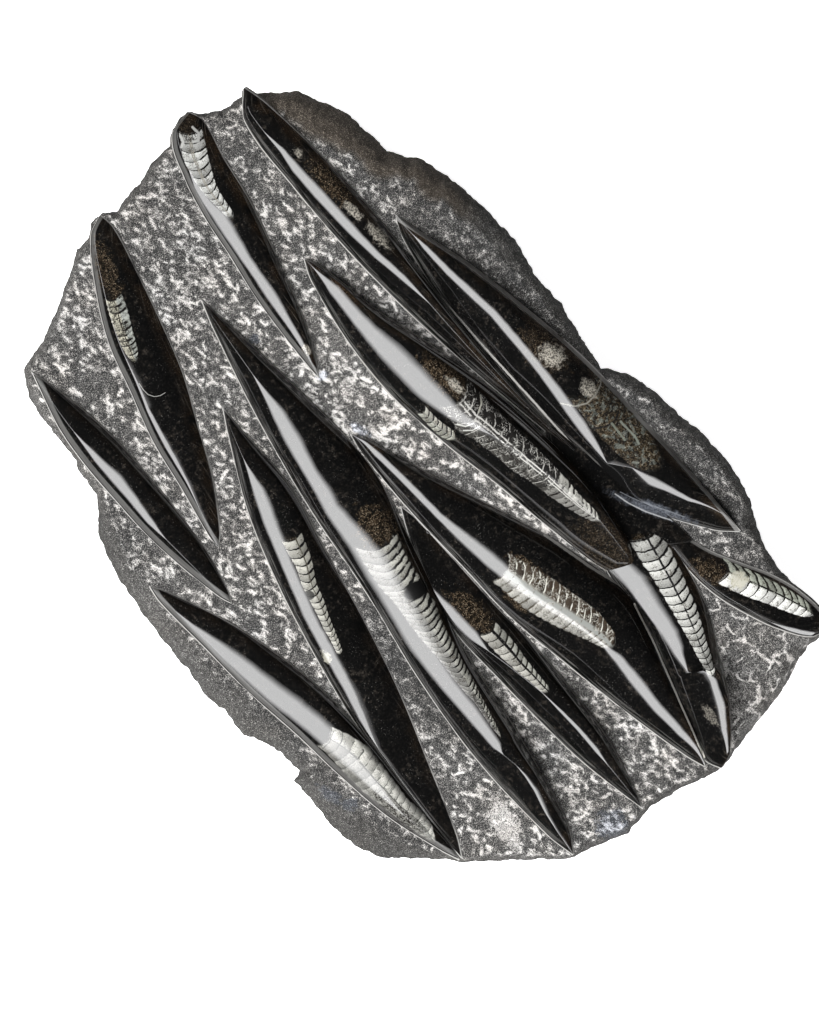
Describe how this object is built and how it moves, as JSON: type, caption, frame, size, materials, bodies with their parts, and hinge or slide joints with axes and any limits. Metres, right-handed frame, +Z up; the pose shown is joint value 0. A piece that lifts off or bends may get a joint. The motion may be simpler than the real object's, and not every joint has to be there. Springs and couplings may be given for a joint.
{
  "type": "orthoceras fossil plate",
  "caption": "Natural slab of black limestone with orthoceras shells standing in it as polished pointed ridges on rough chiselled ground",
  "frame": {"origin": "middle of the bounding box on the flat back", "axes": "+Y along the long way of the slab, +Z up through its thickness from the back to the ridges"},
  "size_m": [0.2464, 0.3828, 0.0356],
  "materials": {
    "black_limestone": "polished ridges on rough chiselled ground"
  },
  "bodies": {
    "root": {"fossil_plate": "black_limestone"}
  },
  "joints": []
}
